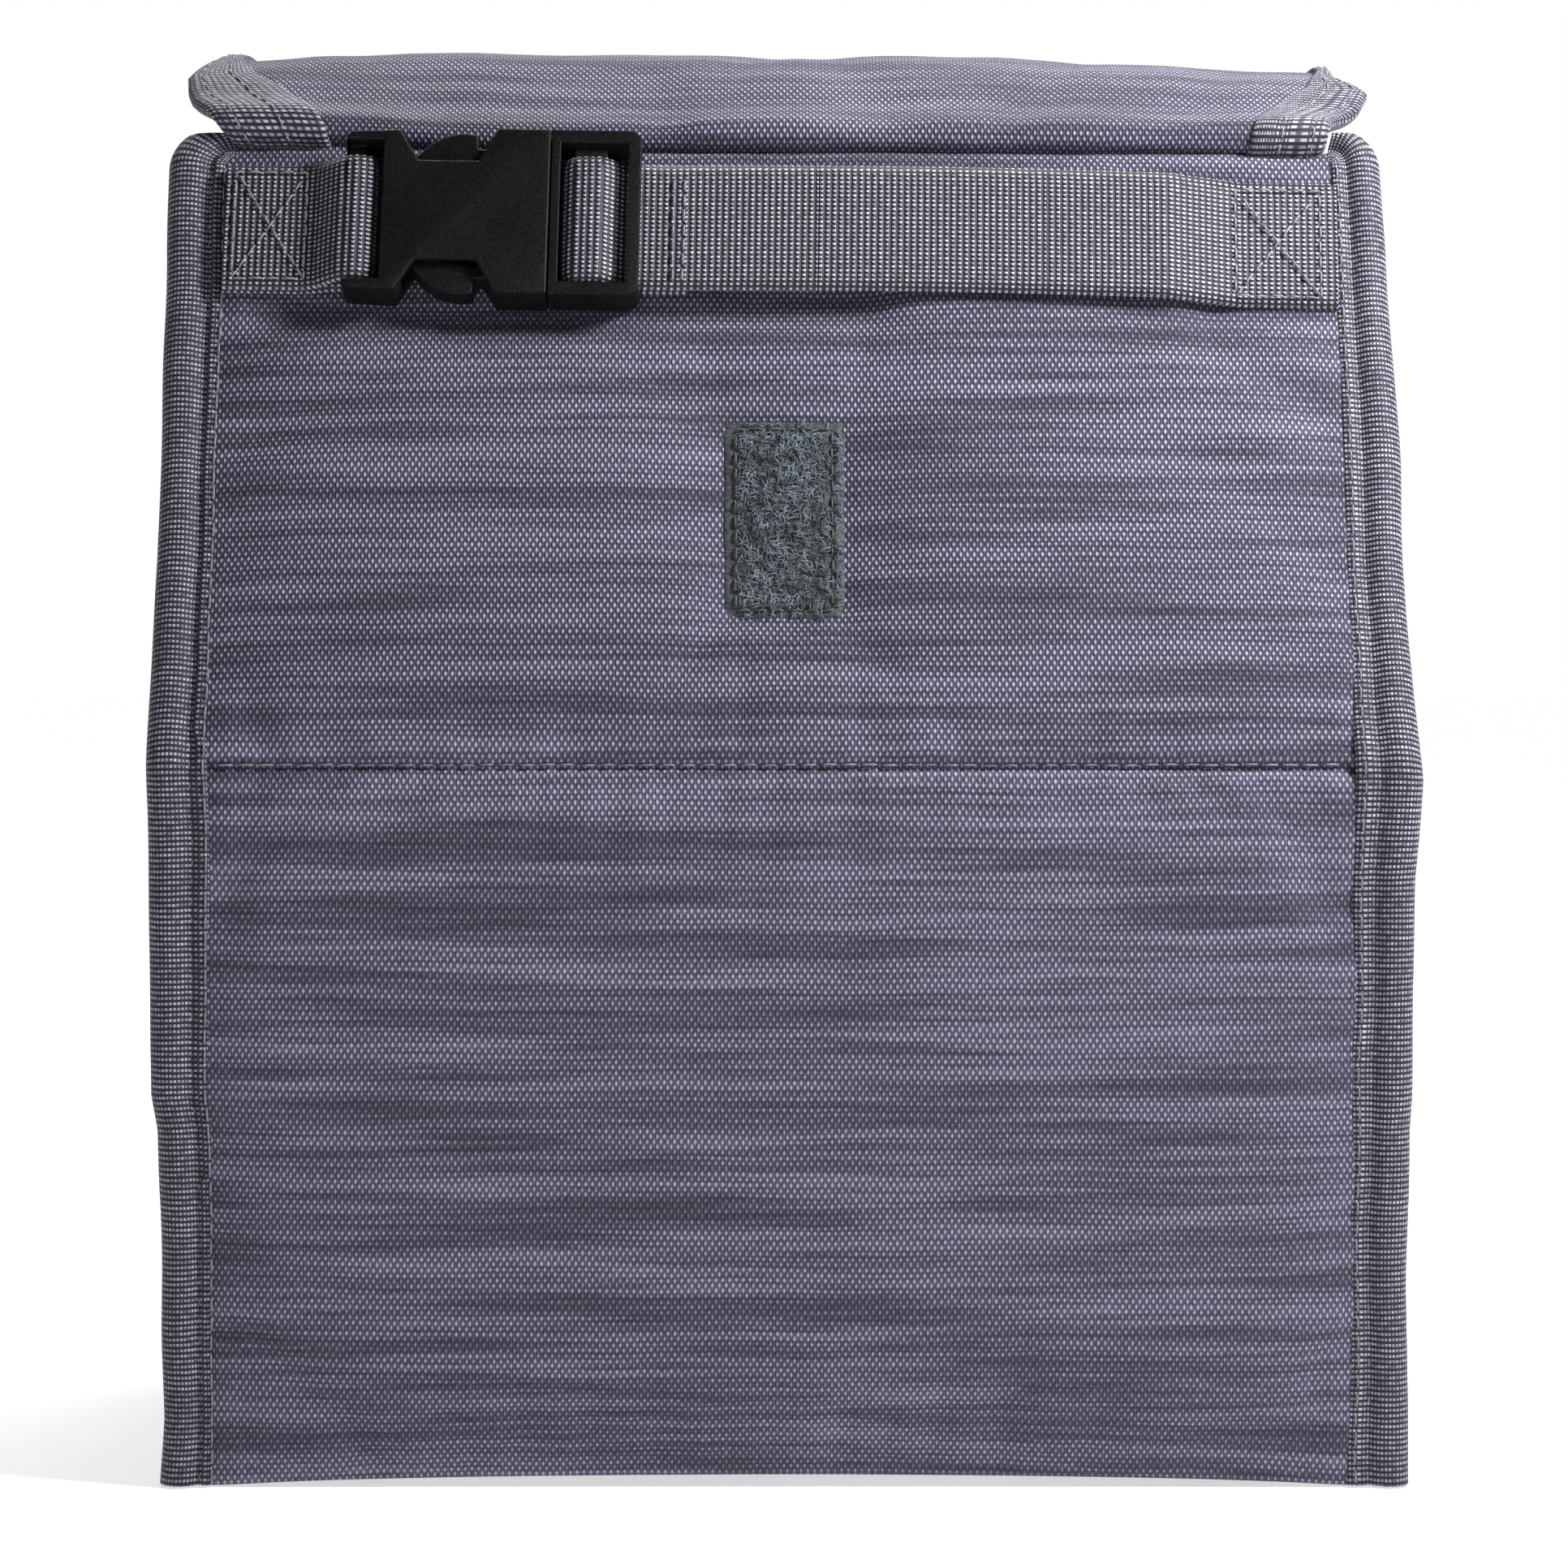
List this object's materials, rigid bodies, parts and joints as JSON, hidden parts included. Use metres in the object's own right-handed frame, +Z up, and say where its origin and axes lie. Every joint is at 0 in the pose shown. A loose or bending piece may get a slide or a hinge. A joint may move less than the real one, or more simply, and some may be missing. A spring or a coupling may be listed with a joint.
{
  "type": "insulated lunch bag",
  "caption": "Soft insulated lunch bag with freezable gel walls, a zip top that folds over to the front, and a webbing carry strap with a side-release buckle on the back.",
  "frame": {"origin": "on the floor, at the centre of the base", "axes": "+Z up, -Y out of the back panel that carries the strap, +Y towards the front, which the zip top folds down"},
  "size_m": [0.216, 0.1288, 0.2526],
  "materials": {
    "shell_fabric": "heathered woven polyester",
    "binding_tape": "ribbed grosgrain tape",
    "webbing": "woven strap webbing",
    "loop_pile": "fuzzy loop pile",
    "buckle_plastic": "fine textured black plastic",
    "foam": "closed-cell foam",
    "gel": "gel in a soft film",
    "lining": "wipe-clean coated lining",
    "board": "stiff plastic sheet",
    "zip": "moulded zip coil",
    "zip_metal": "painted slider"
  },
  "bodies": {
    "bag": {"back_panel_fabric": "shell_fabric", "back_foam": "foam", "back_lower_gel_pack": "gel", "back_upper_gel_pack": "gel", "back_lining": "lining", "front_panel_fabric": "shell_fabric", "front_foam": "foam", "front_lower_gel_pack": "gel", "front_upper_gel_pack": "gel", "front_lining": "lining", "left_gusset_fabric": "shell_fabric", "left_foam": "foam", "left_gel_pack": "gel", "left_lining": "lining", "right_gusset_fabric": "shell_fabric", "right_foam": "foam", "right_gel_pack": "gel", "right_lining": "lining", "bottom_panel_fabric": "shell_fabric", "bottom_foam": "foam", "bottom_board": "board", "bottom_lining": "lining", "back_left_binding": "binding_tape", "back_right_binding": "binding_tape", "front_left_binding": "binding_tape", "front_right_binding": "binding_tape", "back_loop_patch": "loop_pile", "strap_right_anchor": "webbing", "buckle_anchor_loop": "webbing", "buckle_socket": "buckle_plastic"},
    "top_roof": {"roof_fabric": "shell_fabric", "roof_foam": "foam", "roof_lining": "lining", "roof_left_binding": "binding_tape", "roof_right_binding": "binding_tape"},
    "top_front": {"flap_fabric": "shell_fabric", "flap_foam": "foam", "flap_lining": "lining", "flap_left_binding": "binding_tape", "flap_right_binding": "binding_tape", "zip_rear_tape": "binding_tape", "zip_rear_coil": "zip", "zip_end_stops": "zip"},
    "slider": {"zip_slider": "zip_metal"},
    "pull_tab": {"zip_pull": "zip_metal"},
    "pleat_lower": {"lip_pleat_lower": "lining"},
    "pleat_upper": {"lip_pleat_upper": "lining"},
    "lip_front": {"lip_front_fabric": "shell_fabric", "lip_front_lining": "lining", "zip_front_tape": "binding_tape", "zip_front_coil": "zip"},
    "strap_right": {"strap_right_run": "webbing"},
    "strap_left": {"strap_left_run": "webbing"},
    "plug": {"strap_end_loop": "webbing", "buckle_plug": "buckle_plastic"},
    "upper_prong": {"prong_upper": "buckle_plastic"},
    "lower_prong": {"prong_lower": "buckle_plastic"}
  },
  "joints": [
    {"name": "top_unfold", "type": "hinge", "parent": "bag", "child": "top_roof", "pos_m": [0, -0.0235, 0.234], "axis": [1, 0, 0], "range_deg": [0, 85.58]},
    {"name": "front_unfold", "type": "hinge", "parent": "top_roof", "child": "top_front", "pos_m": [0, 0.031, 0.246], "axis": [1, 0, 0], "range_deg": [0, 82.34]},
    {"name": "pleat_lower_turn", "type": "hinge", "parent": "bag", "child": "pleat_lower", "pos_m": [0, 0.0225, 0.2346], "axis": [1, 0, 0], "range_deg": [-93.7, 0]},
    {"name": "pleat_upper_turn", "type": "hinge", "parent": "pleat_lower", "child": "pleat_upper", "pos_m": [0, -0.001, 0.2372], "axis": [1, 0, 0], "range_deg": [0, 166.03]},
    {"name": "lip_turn", "type": "hinge", "parent": "pleat_upper", "child": "lip_front", "pos_m": [0, 0.0235, 0.2405], "axis": [1, 0, 0], "range_deg": [0, 77.59]},
    {"name": "zip_slide", "type": "slide", "parent": "top_front", "child": "slider", "axis": [-1, 0, 0], "range_m": [0, 0.18]},
    {"name": "pull_swing", "type": "hinge", "parent": "slider", "child": "pull_tab", "pos_m": [0.09, 0.05215, 0.17303], "axis": [1, 0, 0], "range_deg": [0, 100]},
    {"name": "buckle_release", "type": "hinge", "parent": "bag", "child": "strap_right", "pos_m": [0.06599, -0.03599, 0.21711], "axis": [0.0157, 0.3434, 0.939], "range_deg": [0, 46], "deforming": ["prong_upper", "prong_lower"]},
    {"name": "strap_bow", "type": "hinge", "parent": "strap_right", "child": "strap_left", "pos_m": [0.026, -0.03427, 0.21715], "axis": [0.0157, 0.3434, 0.939], "range_deg": [-92.01, 0]},
    {"name": "plug_turn", "type": "hinge", "parent": "strap_left", "child": "plug", "pos_m": [-0.014, -0.03555, 0.21829], "axis": [0.0157, 0.3434, 0.939], "range_deg": [0, 46.01]},
    {"name": "upper_prong_squeeze", "type": "hinge", "parent": "plug", "child": "upper_prong", "pos_m": [-0.0413, -0.03046, 0.2302], "axis": [0, -0.9392, 0.3435], "range_deg": [0, 11], "stiffness_Nm_per_rad": 0.05},
    {"name": "lower_prong_squeeze", "type": "hinge", "parent": "plug", "child": "lower_prong", "pos_m": [-0.04166, -0.03829, 0.20879], "axis": [0, 0.9392, -0.3435], "range_deg": [0, 11], "stiffness_Nm_per_rad": 0.05}
  ],
  "couplings": [
    {"joint": "front_unfold", "follows": "top_unfold", "ratio": 0.96197},
    {"joint": "pleat_lower_turn", "follows": "top_unfold", "ratio": -1.0947},
    {"joint": "pleat_upper_turn", "follows": "top_unfold", "ratio": 1.9398},
    {"joint": "lip_turn", "follows": "top_unfold", "ratio": 0.90651},
    {"joint": "strap_bow", "follows": "buckle_release", "ratio": -2},
    {"joint": "plug_turn", "follows": "buckle_release", "ratio": 1}
  ]
}
